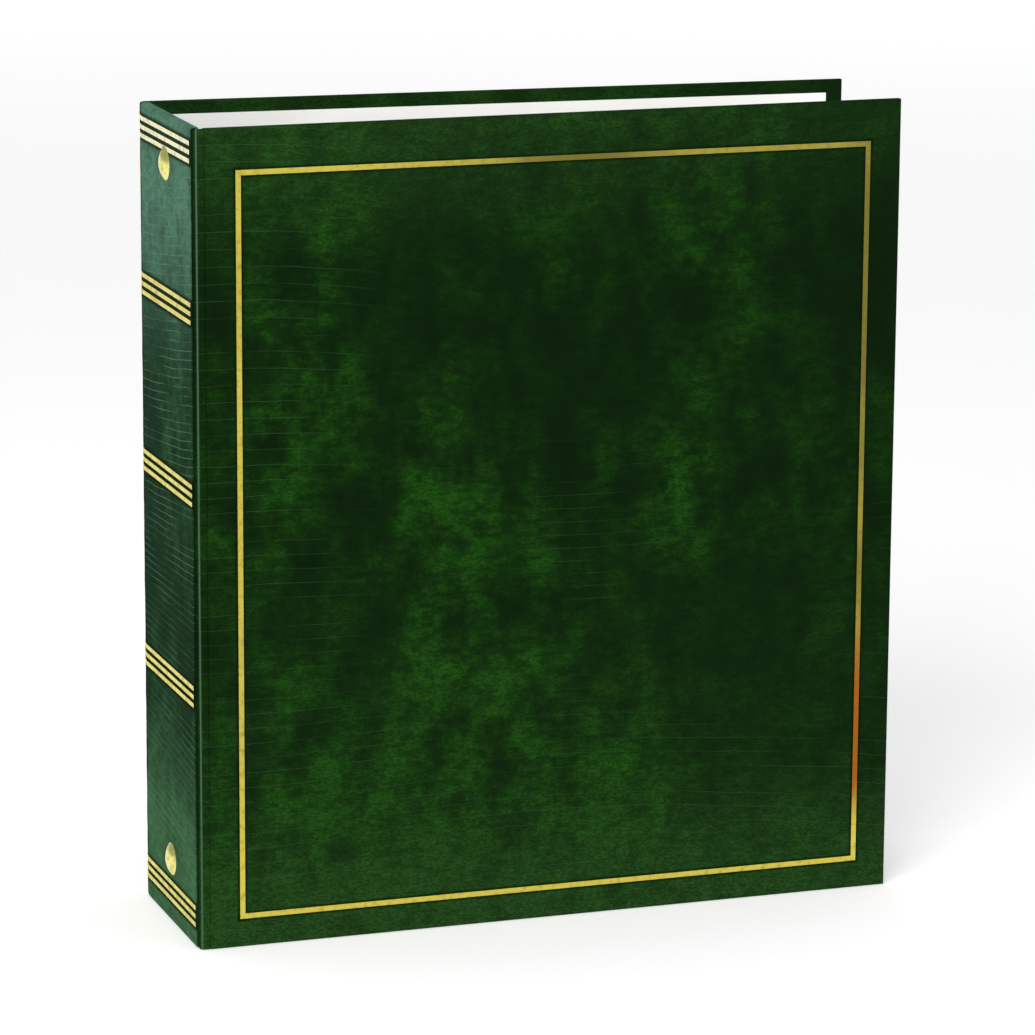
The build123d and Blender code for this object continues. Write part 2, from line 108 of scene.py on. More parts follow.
def length(name, description, default):
    """A length property, in metres."""
    return FloatProperty(
        name=name, description=description, default=default, unit="LENGTH", min=0.0, precision=5
    )


def angle(name, description, default):
    """An angle property, given in degrees and kept in radians."""
    return FloatProperty(
        name=name, description=description, default=math.radians(default), unit="ROTATION"
    )


def share(name, description, default):
    """A property from 0 to 1."""
    return FloatProperty(
        name=name, description=description, default=default, subtype="FACTOR", min=0.0, max=1.0
    )


class LeatheretteSettings(bpy.types.PropertyGroup):
    """Colours and grain of the leatherette."""

    cover_deep: colour("Cover, dark", "Darkest green of the covers", (0.0026, 0.0108, 0.0021))
    cover_bright: colour(
        "Cover, bright", "Green of the covers' bright clouds", (0.0110, 0.0640, 0.0044)
    )
    cover_worn: colour(
        "Cover, worn", "Green of the covers' head and foot", (0.0190, 0.0680, 0.0125)
    )
    cover_crease: colour(
        "Cover crease", "Pale green along the covers' creases", (0.026, 0.080, 0.027)
    )
    spine_deep: colour("Spine, dark", "Darkest green of the spine", (0.0042, 0.0200, 0.0058))
    spine_bright: colour(
        "Spine, bright", "Green of the spine's bright clouds", (0.024, 0.080, 0.029)
    )
    # Painted sheen: the spine's head and foot colours stand in for the satin surface's reflection.
    spine_head_sheen: colour("Spine, head", "Teal of the spine's upper panel", (0.100, 0.230, 0.155))
    spine_foot_sheen: colour("Spine, foot", "Green of the spine's foot", (0.062, 0.170, 0.074))
    spine_crease: colour(
        "Spine crease", "Pale teal along the spine's creases", (0.120, 0.260, 0.180)
    )
    # Painted highlight: the pale line along a joint's fold.
    fold_highlight: colour("Fold", "Pale green where the joint folds", (0.075, 0.165, 0.095))
    # Painted shade: the dark green laid in pressed borders and in the joint's groove.
    pressed_shade: colour("Pressed", "Dark green beside pressed lines", (0.0020, 0.0080, 0.0016))
    cloud_size: length("Cloud size", "Width of the mottled clouds", 0.055)
    grain_size: length("Grain size", "Width of one grain of the leatherette", 0.0012)
    grain_depth: length("Grain depth", "Depth of the grain", 0.00016)
    cover_crease_gap: length("Cover creases", "Distance between creases on the covers", 0.0056)
    spine_crease_gap: length("Spine creases", "Distance between creases on the spine", 0.0031)
    crease_depth: length("Crease depth", "Height of a crease's ridge", 0.00014)
    roughness: share("Roughness", "Roughness of the leatherette", 0.46)
    gloss: share("Gloss", "Weight of the leatherette's clear coat", 0.03)


class JointSettings(bpy.types.PropertyGroup):
    """Shape of the flexible joints."""

    groove_depth: length("Groove depth", "Depth of the pressed groove beside the spine", 0.0008)
    squareness: FloatProperty(
        name="Squareness",
        description="Squareness of the joint's fold",
        default=3.2,
        min=2.0,
        max=8.0,
    )
    skin: length("Skin", "Thickness of the joint's skin", 0.0009)
    recess: length("Recess", "How far the joint's ends lie under the boards' faces", 0.00035)
    pucker: length("Pucker", "Depth of the joint's small puckers", 0.00009)
    edge_radius: length("Edge radius", "Rounding at the head and the foot", 0.0009)


class GiltSettings(bpy.types.PropertyGroup):
    """Colours of the gilt lines and the rivets."""

    gold: colour("Gold", "Yellow gold of the frame", (0.68, 0.57, 0.09))
    olive: colour("Olive", "Dulled gold", (0.17, 0.145, 0.028))
    copper: colour("Copper", "Reddened gold", (0.36, 0.11, 0.012))
    band_gold: colour("Band gold", "Yellow gold of the spine's bands", (0.80, 0.71, 0.15))
    # Painted reflection: the palest gold, of the band at the head.
    band_head_reflection: colour("Head band", "Pale gold of the band at the head", (0.97, 0.92, 0.60))
    brass: colour("Brass", "Brass of the rivets", (0.86, 0.80, 0.26))
    foil: length("Foil", "Thickness of the foil over the back joint", 0.00008)
    fleck_size: length("Fleck size", "Size of the flecks in the foil", 0.0030)


class PaperSettings(bpy.types.PropertyGroup):
    """Leaves, endpapers and clear strips."""

    endpaper: colour("Endpaper", "Colour of the endpapers", (0.96, 0.96, 0.95))
    leaf: colour("Leaf", "Colour of the card leaves", (0.90, 0.89, 0.85))
    sheet_thickness: length("Sheet thickness", "Thickness of a leaf in a stack", 0.0005)
    sheet_pitch: length("Sheet pitch", "Distance from leaf to leaf in a stack", 0.00075)
    sheet_slip: length("Sheet slip", "How far leaves stand out of line", 0.0004)
    corner_radius: length("Corner radius", "Rounding of a leaf's corners", 0.003)
    hole_path: length("Hole path", "Radius of the path of the holes round the rings", 0.0282)
    hole_radius: length("Hole radius", "Radius of a punched hole", 0.0043)
    hole_inset: length("Hole inset", "From a leaf's edge to the middle of its holes", 0.0085)
    strips: IntProperty(
        name="Strips", description="Clear strips on a leaf", default=6, min=1, max=12
    )
    strip_gap: length("Strip gap", "Gap between one strip and the next", 0.010)
    film: length("Film", "Thickness of the clear film", 0.00008)
    weld: length("Weld", "Height of the strip's sealed foot", 0.0016)
    lift: length("Lift", "How far a strip's open edge stands off the leaf", 0.00018)


class MetalSettings(bpy.types.PropertyGroup):
    """Finishes of the ring metal."""

    nickel: colour("Nickel", "Plated rings, shield and levers", (0.78, 0.77, 0.75))
    steel: colour("Steel", "Spring steel of the blades", (0.42, 0.43, 0.45))
    scratch_size: length("Scratch size", "Width of the hairline scratches", 0.0006)


class StageSettings(bpy.types.PropertyGroup):
    """Camera, floor and lights."""

    camera_place: FloatVectorProperty(
        name="Camera",
        description="Where the camera stands",
        default=(-0.4777, -1.774, 0.575),
        subtype="TRANSLATION",
        unit="LENGTH",
        size=3,
    )
    camera_turn: angle("Camera turn", "How far the camera turns to the right", 19.12)
    camera_tilt: angle("Camera tilt", "How far the camera looks down", 12.78)
    camera_roll: angle("Camera roll", "How far the camera rolls", -0.35)
    lens: FloatProperty(
        name="Lens", description="Focal length", default=173.8, unit="CAMERA", min=1
    )
    floor_radius: length("Floor", "Radius of the floor", 30.0)
    floor_colour: colour("Floor colour", "Pale floor", (0.93, 0.93, 0.93))
    floor_glow: share("Floor glow", "Light that the floor gives off", 0.23)
    far_glow: share("Far floor glow", "Light that the floor gives off far from the album", 0.72)
    world: share("Surroundings", "Strength of the light all round", 0.40)
    key: FloatProperty(name="Key", description="Power of the key light", default=56.0, min=0)
    fill: FloatProperty(name="Fill", description="Power of the fill light", default=15.0, min=0)
    overhead: FloatProperty(
        name="Overhead", description="Power of the top light", default=22.0, min=0
    )


class AlbumSettings(bpy.types.PropertyGroup):
    """Every setting of the album."""

    leatherette: PointerProperty(type=LeatheretteSettings)
    joint: PointerProperty(type=JointSettings)
    gilt: PointerProperty(type=GiltSettings)
    paper: PointerProperty(type=PaperSettings)
    metal: PointerProperty(type=MetalSettings)
    stage: PointerProperty(type=StageSettings)


# Finishes


class Finish:
    """A material with one principled shader, and helpers that add nodes to it."""

    def __init__(self, name, **constants):
        self.material = bpy.data.materials.new(name)
        self.material.use_nodes = True
        self.tree = self.material.node_tree
        self.tree.nodes.clear()
        self.shader = self.tree.nodes.new("ShaderNodeBsdfPrincipled")
        output = self.tree.nodes.new("ShaderNodeOutputMaterial")
        self.tree.links.new(self.shader.outputs["BSDF"], output.inputs["Surface"])
        self.place = self.add("ShaderNodeTexCoord").outputs["Object"]
        axes = self.add("ShaderNodeSeparateXYZ", {"Vector": self.place})
        self.across = axes.outputs["X"]
        self.height = axes.outputs["Z"]
        for socket, value in constants.items():
            self.shader.inputs[socket.replace("_", " ")].default_value = value

    def add(self, kind, inputs=None, **settings):
        """A node with its settings, and its inputs given as values or as sockets to link."""
        node = self.tree.nodes.new(kind)
        for name, value in settings.items():
            setattr(node, name, value)
        for name, value in (inputs or {}).items():
            if isinstance(value, bpy.types.NodeSocket):
                self.tree.links.new(value, node.inputs[name])
            else:
                node.inputs[name].default_value = value
        return node

    def stretch(self, scale):
        """Object coordinates, scaled by axis."""
        node = self.add("ShaderNodeMapping", {"Vector": self.place, "Scale": scale})
        return node.outputs["Vector"]

    def speckle(self, size, place=None, detail=2.0, roughness=0.5):
        """Noise whose features are about the given size, in metres."""
        node = self.add(
            "ShaderNodeTexNoise",
            {
                "Vector": place or self.place,
                "Scale": 1.0 / size,
                "Detail": detail,
                "Roughness": roughness,
            },
        )
        return node.outputs["Fac"]

    def ramp(self, value, low, high, start=0.0, end=1.0):
        """A value mapped smoothly from one range to another, and held inside it."""
        node = self.add(
            "ShaderNodeMapRange",
            {"Value": value, "From Min": low, "From Max": high, "To Min": start, "To Max": end},
            interpolation_type="SMOOTHSTEP",
        )
        return node.outputs["Result"]

    def sum(self, kind, first, second):
        """A math node."""
        node = self.add("ShaderNodeMath", {0: first, 1: second}, operation=kind)
        return node.outputs["Value"]

    def blend(self, factor, first, second):
        """Two colours mixed by a factor."""
        node = self.add("ShaderNodeMix", data_type="RGBA")
        for index, value in ((0, factor), (6, first), (7, second)):
            if isinstance(value, bpy.types.NodeSocket):
                self.tree.links.new(value, node.inputs[index])
            else:
                node.inputs[index].default_value = (*value, 1.0) if index else value
        return node.outputs[2]

    def relief(self, height, depth, below=None):
        """A bump of the given depth, over another bump."""
        inputs = {"Height": height, "Distance": depth, "Strength": 1.0}
        if below:
            inputs["Normal"] = below
        return self.add("ShaderNodeBump", inputs).outputs["Normal"]

    def wire(self, **sockets):
        """Link sockets to the shader's inputs."""
        for name, socket in sockets.items():
            self.tree.links.new(socket, self.shader.inputs[name.replace("_", " ")])
        return self.material


def crease_lines(finish, gap, width, zones):
    """Hairline creases, nearly level and evenly spaced, that break off here and there."""
    warp_size, warp_height = 0.24, 0.060
    ripple_size, ripple_height = 0.018, 0.0011
    warp = finish.sum("MULTIPLY", finish.speckle(warp_size, detail=0.0), warp_height)
    ripple = finish.sum("MULTIPLY", finish.speckle(ripple_size, detail=1.0), ripple_height)
    shift = finish.add("ShaderNodeCombineXYZ", {"Z": finish.sum("ADD", warp, ripple)})
    bent = finish.add(
        "ShaderNodeVectorMath", {0: finish.place, 1: shift.outputs[0]}, operation="ADD"
    )
    bands = finish.add(
        "ShaderNodeTexWave",
        {"Vector": bent.outputs[0], "Scale": math.tau / 20 / gap, "Distortion": 0.0},
        wave_type="BANDS",
        bands_direction="Z",
    )
    line = finish.ramp(bands.outputs["Fac"], 1.0 - width, 1.0 - width / 12)
    long_noise = finish.speckle(0.012, finish.stretch((0.3, 0.3, 1.0)), detail=2.0)
    broken = finish.ramp(long_noise, 0.36, 0.62)
    return finish.sum("MULTIPLY", finish.sum("MULTIPLY", line, zones), broken)


def leatherette_finish(name, settings, look):
    """Grained leatherette with cloudy mottling, paler ends, hairline creases and pressed lines. The
    paler ends are real wear on the covers and painted sheen on the spine, the pressed lines carry
    painted shade, and a joint's fold carries a painted highlight.
    """
    finish = Finish(name, Specular_IOR_Level=0.0, Coat_Weight=settings.gloss, Coat_Roughness=0.32)
    tall = finish.stretch((1.0, 1.0, 0.62))
    clouds = finish.ramp(finish.speckle(settings.cloud_size, tall, 2.0, 0.5), 0.30, 0.70, 0.12, 1.0)
    patches = finish.speckle(settings.cloud_size / 4.0, tall, 5.0, 0.62)
    level = finish.stretch((0.5, 0.5, 1.0))
    specks = finish.ramp(finish.speckle(0.0026, level), 0.28, 0.72, 0.42, 1.38)
    cloudy = finish.sum("MULTIPLY", clouds, finish.ramp(patches, 0.28, 0.74, 0.06, 1.25))
    mottle = finish.sum("MULTIPLY", finish.sum("MULTIPLY", cloudy, specks), look["light"](finish))
    # Paler ends: real wear on the covers, painted sheen on the spine.
    overlay = finish.sum("MULTIPLY", look["wear_and_sheen"](finish), finish.ramp(patches, 0.20, 0.62, 0.55, 1.0))
    overlay = finish.sum("MULTIPLY", overlay, finish.ramp(specks, 0.5, 1.3, 0.75, 1.0))
    grain = finish.speckle(settings.grain_size / 2, level, roughness=0.6)
    crease = crease_lines(finish, look["gap"], look["width"], look["creases"](finish))
    tone = finish.blend(mottle, look["deep"], look["bright"])
    tone = finish.blend(overlay, tone, look["overlay"](finish))
    tone = finish.blend(finish.ramp(grain, 0.36, 0.62, look["pore"], 0.0), tone, look["deep"])
    tone = finish.blend(finish.sum("MULTIPLY", crease, look["strength"]), tone, look["crease"])
    # Painted shade in pressed borders and the joint's groove; the same mask also dents the surface.
    pressed_shade = look["pressed_shade"](finish)
    tone = finish.blend(finish.sum("MULTIPLY", pressed_shade, 0.85), tone, settings.pressed_shade[:])
    # A joint gets a painted highlight: a pale line along its fold.
    if look["fold"]:
        edge = fold_share(finish)
        line = finish.sum("MULTIPLY", finish.ramp(edge, 0.50, 0.56), finish.ramp(edge, 0.64, 0.57))
        tone = finish.blend(finish.sum("MULTIPLY", line, 0.7), tone, settings.fold_highlight[:])
    low = finish.relief(finish.ramp(grain, 0.35, 0.68), settings.grain_depth)
    dented = finish.relief(finish.sum("SUBTRACT", 1.0, pressed_shade), settings.crease_depth, low)
    normal = finish.relief(crease, settings.crease_depth, dented)
    rough = finish.ramp(grain, 0.30, 0.70, settings.roughness + 0.12, settings.roughness - 0.06)
    return finish.wire(Base_Color=tone, Roughness=rough, Normal=normal, Coat_Normal=normal)


def constant(value):
    """A look's part that is the same everywhere."""
    return lambda finish: value


def fold_share(finish):
    """How far round a joint a point lies, from the spine's side to the cover's."""
    return finish.add("ShaderNodeAttribute", attribute_name="fold").outputs["Fac"]


def joint_groove_shade(finish):
    """Painted shade in the dark groove of a joint, beside the spine; the same mask dents the groove
    a little.
    """
    edge = fold_share(finish)
    start = finish.ramp(edge, 0.0, 0.08, 0.5, 0.85)
    return finish.sum("MULTIPLY", start, finish.ramp(edge, 0.52, 0.34))


def near(finish, value, lines, reach):
    """How close a coordinate is to any of some lines, from 0 to 1."""
    closest = None
    for line in lines:
        gap = finish.sum("ABSOLUTE", finish.sum("SUBTRACT", value, line), 0.0)
        closest = gap if closest is None else finish.sum("MINIMUM", closest, gap)
    return finish.ramp(closest, reach, reach * 0.45)


def frame_pressed_shade(finish):
    """The pressed border on both sides of the frame's lines: a dent, darkened with painted shade.
    """
    low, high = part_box("front_frame_foil")
    half_line = 0.001
    reach = 0.0024
    upright = near(finish, finish.across, (low.x + half_line, high.x - half_line), reach)
    level = near(finish, finish.height, (low.z + half_line, high.z - half_line), reach)
    middle_x, middle_z = (low.x + high.x) / 2, (low.z + high.z) / 2
    wide = near(finish, finish.across, (middle_x,), (high.x - low.x) / 2 + half_line)
    tall = near(finish, finish.height, (middle_z,), (high.z - low.z) / 2 + half_line)
    sides = finish.sum("MULTIPLY", upright, finish.sum("GREATER_THAN", tall, 0.0))
    ends = finish.sum("MULTIPLY", level, finish.sum("GREATER_THAN", wide, 0.0))
    return finish.sum("MAXIMUM", sides, ends)


def bands_pressed_shade(finish):
    """The pressed border round the spine's gilt lines: a dent, darkened with painted shade."""
    middles = [(low + high) / 2 for low, high in band_lines()]
    return near(finish, finish.height, middles, 0.0030)


def cover_light(finish):
    """How much of the mottling's light the covers show: least at the fore edge."""
    fore = finish.ramp(finish.across, 0.260, 0.165, 0.38, 1.05)
    high = finish.ramp(finish.height, 0.29, 0.12, 0.72, 1.1)
    return finish.sum("MULTIPLY", fore, high)


def cover_wear(finish):
    """Paler leatherette towards the covers' head and foot."""
    foot = finish.ramp(finish.height, 0.062, 0.0, 0.0, 0.90)
    lower = finish.ramp(finish.height, 0.17, 0.06, 0.0, 0.16)
    head = finish.ramp(finish.height, 0.255, 0.311, 0.0, 0.62)
    from_spine = finish.ramp(finish.across, 0.26, 0.07, 0.35, 1.0)
    head = finish.sum("MULTIPLY", head, from_spine)
    return finish.sum("ADD", finish.sum("ADD", foot, lower), head)


def spine_sheen(finish):
    """Painted sheen: paler leatherette over the spine's upper panel and its foot."""
    foot = finish.ramp(finish.height, 0.088, 0.026, 0.0, 0.90)
    head = finish.ramp(finish.height, 0.205, 0.290, 0.05, 1.0)
    return finish.sum("ADD", foot, head)


def spine_sheen_tone(settings):
    """Painted sheen colour: teal at the spine's head and green at its foot."""
    def tone(finish):
        upper = finish.ramp(finish.height, 0.11, 0.19)
        return finish.blend(upper, settings.spine_foot_sheen[:], settings.spine_head_sheen[:])
    return tone


def cover_crease_zones(finish):
    """Where the covers crease: beside the joint, and in drifts over the lower half."""
    beside_joint = finish.ramp(finish.across, 0.080, 0.030)
    drifts = finish.ramp(finish.speckle(0.085, detail=1.0), 0.44, 0.58)
    lower = finish.ramp(finish.height, 0.20, 0.14, 0.1, 0.9)
    return finish.sum("MAXIMUM", beside_joint, finish.sum("MULTIPLY", drifts, lower))


def spine_crease_zones(finish):
    """Where the spine creases: nearly everywhere, in drifts."""
    return finish.ramp(finish.speckle(0.045, detail=1.0), 0.30, 0.50, 0.45, 1.0)


def foil_finish(finish, settings, tone):
    """Flecks, gloss and tooth of foil over a tone."""
    flecks = finish.speckle(settings.fleck_size, detail=3.0, roughness=0.65)
    overlay = finish.blend(finish.ramp(flecks, 0.46, 0.74, 0.0, 0.45), tone, settings.olive[:])
    rough = finish.ramp(flecks, 0.3, 0.7, 0.32, 0.52)
    return finish.wire(Base_Color=overlay, Roughness=rough, Normal=finish.relief(flecks, 0.00008))


def frame_gilt_finish(name, settings):
    """Gilt of the cover's frame: dulled away from the spine, and reddened low at the fore edge."""
    finish = Finish(name, Metallic=1.0)
    drift = finish.ramp(finish.speckle(0.070, detail=2.0), 0.35, 0.62)
    far = finish.ramp(finish.across, 0.040, 0.150, 0.35, 1.0)
    risen = finish.ramp(finish.height, 0.020, 0.080)
    uneven = finish.ramp(drift, 0.0, 1.0, 0.7, 1.0)
    dullness = finish.sum("MULTIPLY", finish.sum("MULTIPLY", far, risen), uneven)
    dull = finish.blend(dullness, settings.gold[:], settings.olive[:])
    red_top = finish.ramp(finish.height, 0.118, 0.080)
    red_foot = finish.ramp(finish.height, 0.022, 0.046)
    red = finish.sum("MULTIPLY", red_top, red_foot)
    low_fore = finish.sum("MULTIPLY", red, finish.ramp(finish.across, 0.20, 0.25))
    return foil_finish(finish, settings, finish.blend(low_fore, dull, settings.copper[:]))


def band_gilt_finish(name, settings):
    """Gilt of the spine's bands: yellow, with a painted reflection that makes them palest at the
    head.
    """
    finish = Finish(name, Metallic=1.0)
    # Painted reflection: the gilt turns palest towards the head.
    head = finish.ramp(finish.height, 0.24, 0.29)
    tone = finish.blend(head, settings.band_gold[:], settings.band_head_reflection[:])
    return foil_finish(finish, settings, tone)


def brass_finish(name, settings):
    """Pressed brass, bright on the crown and dulled in small spots."""
    finish = Finish(name, Metallic=1.0)
    spots = finish.speckle(0.0022, detail=4.0, roughness=0.65)
    dark = tuple(c * 0.55 for c in settings.brass)
    base = finish.blend(finish.ramp(spots, 0.48, 0.72, 0.0, 0.7), settings.brass[:], dark)
    rough = finish.ramp(spots, 0.3, 0.7, 0.20, 0.36)
    normal = finish.relief(spots, 0.00003)
    return finish.wire(Base_Color=base, Roughness=rough, Normal=normal)


def paper_finish(name, tone, fibre_depth):
    """Matt paper or card with fibre and a slight tooth."""
    finish = Finish(name, Specular_IOR_Level=0.25)
    fibre = finish.speckle(0.0009, finish.stretch((1.0, 1.0, 0.45)), detail=4.0, roughness=0.7)
    cloud = finish.speckle(0.03, detail=3.0)
    warm = tuple(c * k for c, k in zip(tone, (0.97, 0.955, 0.92)))
    base = finish.blend(finish.ramp(cloud, 0.35, 0.7, 0.0, 0.6), tone, warm)
    dull = tuple(c * 0.82 for c in tone)
    speck = finish.blend(finish.ramp(fibre, 0.55, 0.75, 0.0, 0.22), base, dull)
    rough = finish.ramp(fibre, 0.3, 0.7, 0.72, 0.9)
    normal = finish.relief(fibre, fibre_depth)
    return finish.wire(Base_Color=speck, Roughness=rough, Normal=normal)


def board_finish(name):
    """Grey binder's board with pressed fibres."""
    finish = Finish(name, Specular_IOR_Level=0.2)
    fibre = finish.speckle(0.0008, finish.stretch((1.0, 2.5, 1.0)), detail=5.0, roughness=0.7)
    base = finish.blend(finish.ramp(fibre, 0.35, 0.7), (0.30, 0.28, 0.25), (0.50, 0.48, 0.44))
    rough = finish.ramp(fibre, 0.3, 0.7, 0.8, 0.95)
    return finish.wire(Base_Color=base, Roughness=rough, Normal=finish.relief(fibre, 0.00012))


def metal_finish(name, settings, tone, low, high, stretch):
    """Plated or brushed metal with hairline scratches and cloudy wear."""
    finish = Finish(name, Metallic=1.0)
    hair = finish.speckle(settings.scratch_size, finish.stretch(stretch), detail=4.0, roughness=0.7)
    cloud = finish.speckle(0.012, detail=4.0, roughness=0.6)
    dark = tuple(c * 0.72 for c in tone)
    base = finish.blend(finish.ramp(cloud, 0.40, 0.75, 0.0, 0.55), tone, dark)
    rubbed = finish.sum("MULTIPLY", hair, finish.ramp(cloud, 0.2, 0.8, 0.7, 1.3))
    rough = finish.ramp(rubbed, 0.3, 0.75, low, high)
    return finish.wire(Base_Color=base, Roughness=rough, Normal=finish.relief(hair, 0.00002))


def film_finish(name):
    """Clear film with faint waves and fingerprints of gloss."""
    finish = Finish(
        name,
        Base_Color=(0.86, 0.91, 0.93, 1.0),
        Alpha=0.26,
        IOR=1.48,
        Specular_IOR_Level=0.7,
    )
    wave = finish.speckle(0.018, finish.stretch((0.4, 1.0, 1.0)), detail=2.0)
    haze = finish.speckle(0.004, detail=3.0)
    rough = finish.ramp(haze, 0.3, 0.75, 0.06, 0.20)
    return finish.wire(Roughness=rough, Normal=finish.relief(wave, 0.0004))


def floor_finish(name, settings):
    """Plain pale floor."""
    finish = Finish(
        name,
        Specular_IOR_Level=0.0,
        Roughness=0.95,
        Emission_Color=(1.0, 1.0, 1.0, 1.0),
    )
    tooth = finish.speckle(0.002, detail=3.0)
    dull = tuple(c * 0.99 for c in settings.floor_colour)
    tone = finish.blend(tooth, settings.floor_colour[:], dull)
    away = finish.add("ShaderNodeVectorMath", {0: finish.place}, operation="LENGTH")
    glow = finish.ramp(away.outputs["Value"], 0.9, 4.5, settings.floor_glow, settings.far_glow)
    return finish.wire(Base_Color=tone, Emission_Strength=glow)


# Making pieces


def coat(material, *names):
    """Give CAD nodes a finish."""
    for name in names:
        for slot in NODES[name].material_slots:
            slot.material = material


def new_piece(name, form, material, smooth=True):
    """An object from a bmesh, with its finish."""
    bmesh.ops.recalc_face_normals(form, faces=form.faces)
    mesh = bpy.data.meshes.new(name)
    form.to_mesh(mesh)
    form.free()
    for face in mesh.polygons:
        face.use_smooth = smooth
    piece = bpy.data.objects.new(name, mesh)
    bpy.context.scene.collection.objects.link(piece)
    mesh.materials.append(material)
    return piece


def crisp(piece, degrees):
    """Keep edges sharper than an angle crisp under smooth shading."""
    piece.data.set_sharp_from_angle(angle=math.radians(degrees))
    return piece


def loft(form, rings):
    """Skin closed rings of points one after another, and cap both ends."""
    rows = [[form.verts.new(point) for point in ring] for ring in rings]
    count = len(rows[0])
    for lower, upper in zip(rows, rows[1:]):
        for i in range(count):
            j = (i + 1) % count
            form.faces.new((lower[i], lower[j], upper[j], upper[i]))
    form.faces.new(list(reversed(rows[0])))
    form.faces.new(rows[-1])


def material_named(name):
    """A finish made by an earlier operator."""
    if name not in bpy.data.materials:
        raise RuntimeError(f"the finish {name} isn't made yet")
    return bpy.data.materials[name]


# Joints


class JointPlace:
    """Where one joint bends: the fold's centre and its two ends, from the boards' edges."""

    def __init__(self, side):
        self.side = side
        self.sign = -1 if side == "front" else 1
        spine_low, spine_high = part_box("spine_wrap")
        self.spine_end = spine_high.y
        self.centre_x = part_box("front_board")[0].x
        self.radius = self.centre_x - spine_low.x
        self.height = spine_high.z
        self.turn = math.radians(90.0)

    def point(self, radius, turned, z):
        """A point of the joint at a radius and a turn from the spine's side."""
        x = self.centre_x - radius * math.cos(turned)
        y = self.sign * (self.spine_end + radius * math.sin(turned))
        return Vector((x, y, z))


def joint_profile(place, settings):
    """Radius of the joint's outer face by turn: a pressed groove, then a squared fold."""
    profile = []
    power = settings.squareness
    groove_middle, groove_width = 0.16, 0.11
    for step in range(JOINT_STEPS + 1):
        share_done = step / JOINT_STEPS
        turned = place.turn * share_done
        part = math.pi / 2 * share_done
        square = (math.cos(part) ** power + math.sin(part) ** power) ** (-1 / power)
        from_groove = (share_done - groove_middle) / groove_width
        groove = settings.groove_depth * math.exp(-from_groove ** 2)
        recess = settings.recess * math.cos(part * 2) ** 2
        profile.append((turned, place.radius * square - groove - recess))
    return profile


def joint_levels(place, settings):
    """Heights of the joint's rows: close together at the rounded ends."""
    edge = settings.edge_radius
    ends = [edge * (1 - math.cos(math.radians(a))) for a in (0, 30, 60, 90)]
    step = (place.height - 2 * edge) / JOINT_LEVELS
    middle = [edge + step * i for i in range(1, JOINT_LEVELS)]
    return ends + middle + [place.height - e for e in reversed(ends)]


def end_drop(z, place, edge):
    """How far the joint's outer face drops at its rounded head and foot."""
    near = min(z, place.height - z)
    if near >= edge:
        return 0.0
    return edge - math.sqrt(max(edge ** 2 - (edge - near) ** 2, 0.0))


def blend_joint(piece, place):
    """Bake a piece's placement into its mesh; the fold's two ends are worked out but not used."""
    reach = place.radius - 0.00075
    start = place.point(reach, 0.0, place.height / 2)
    end = place.point(reach, place.turn, place.height / 2)
    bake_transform(piece)


def make_joint(place, settings, material):
    """The leatherette fold between the spine and a cover."""
    form = bmesh.new()
    fold = form.verts.layers.float.new("fold")
    rings = []
    for z in joint_levels(place, settings):
        drop = end_drop(z, place, settings.edge_radius)
        ring = []
        for turned, radius in joint_profile(place, settings):
            broad = noise.noise(Vector((turned * 3.0, z * 160.0, 1.7 * place.sign)))
            fine = noise.noise(Vector((turned * 1.2, z * 520.0, 5.1)))
            pucker = settings.pucker * (broad + fine)
            fade = math.sin(math.pi * turned / place.turn)
            ring.append(place.point(radius - drop + pucker * fade, turned, z))
        inner = place.radius - settings.recess - settings.skin
        for step in range(JOINT_STEPS, -1, -1):
            ring.append(place.point(inner, place.turn * step / JOINT_STEPS, z))
        rings.append(ring)
    loft(form, rings)
    middle = place.point(0.0, 0.0, 0.0)
    for vert in form.verts:
        turned = math.atan2(place.sign * (vert.co.y - middle.y), middle.x - vert.co.x)
        vert[fold] = turned / place.turn
    name = f"{place.side}_joint_leatherette"
    piece = crisp(new_piece(name, form, material), 50)
    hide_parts(f"{place.side}_joint")
    blend_joint(piece, place)


def make_joint_bands(place, joint, foil, material):
    """The gilt lines where they run on over the back joint."""
    heights = band_lines()
    form = bmesh.new()
    profile = joint_profile(place, joint)
    for low, high in heights:
        rings = []
        for z in (low, high):
            outer = [place.point(r + foil, t, z) for t, r in profile]
            inner = [place.point(r - foil, t, z) for t, r in reversed(profile)]
            rings.append(outer + inner)
        loft(form, rings)
    piece = crisp(new_piece("back_joint_bands", form, material), 40)
    blend_joint(piece, place)


def band_lines():
    """Lowest and highest point of each gilt line on the spine."""
    past_rivets = 0.03
    verts = NODES["spine_bands"].data.vertices
    heights = sorted({round(v.co.z, 5) for v in verts if v.co.y > past_rivets})
    return list(zip(heights[0::2], heights[1::2]))


# Leaves


def leaf_outline(low, high, radius):
    """A rectangle with rounded corners in X and Z."""
    points = []
    corners = ((high.x, high.z, 0), (low.x, high.z, 90), (low.x, low.z, 180), (high.x, low.z, 270))
    for x, z, start in corners:
        cx = x - radius if x == high.x else x + radius
        cz = z - radius if z == high.z else z + radius
        for step in range(6):
            a = math.radians(start + 18 * step)
            points.append((cx + radius * math.cos(a), cz + radius * math.sin(a)))
    return points


def ring_heights():
    """Middle height of each ring."""
    heights = []
    for name in RINGS:
        low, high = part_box(f"front_ring_{name}")
        heights.append((low.z + high.z) / 2)
    return heights


def ring_centre():
    """X of the rings' centre, where the leaves turn."""
    hinge = next(joint for joint in frame["joints"] if joint["name"] == "front_leaves_turn")
    return hinge["pos_m"][0]


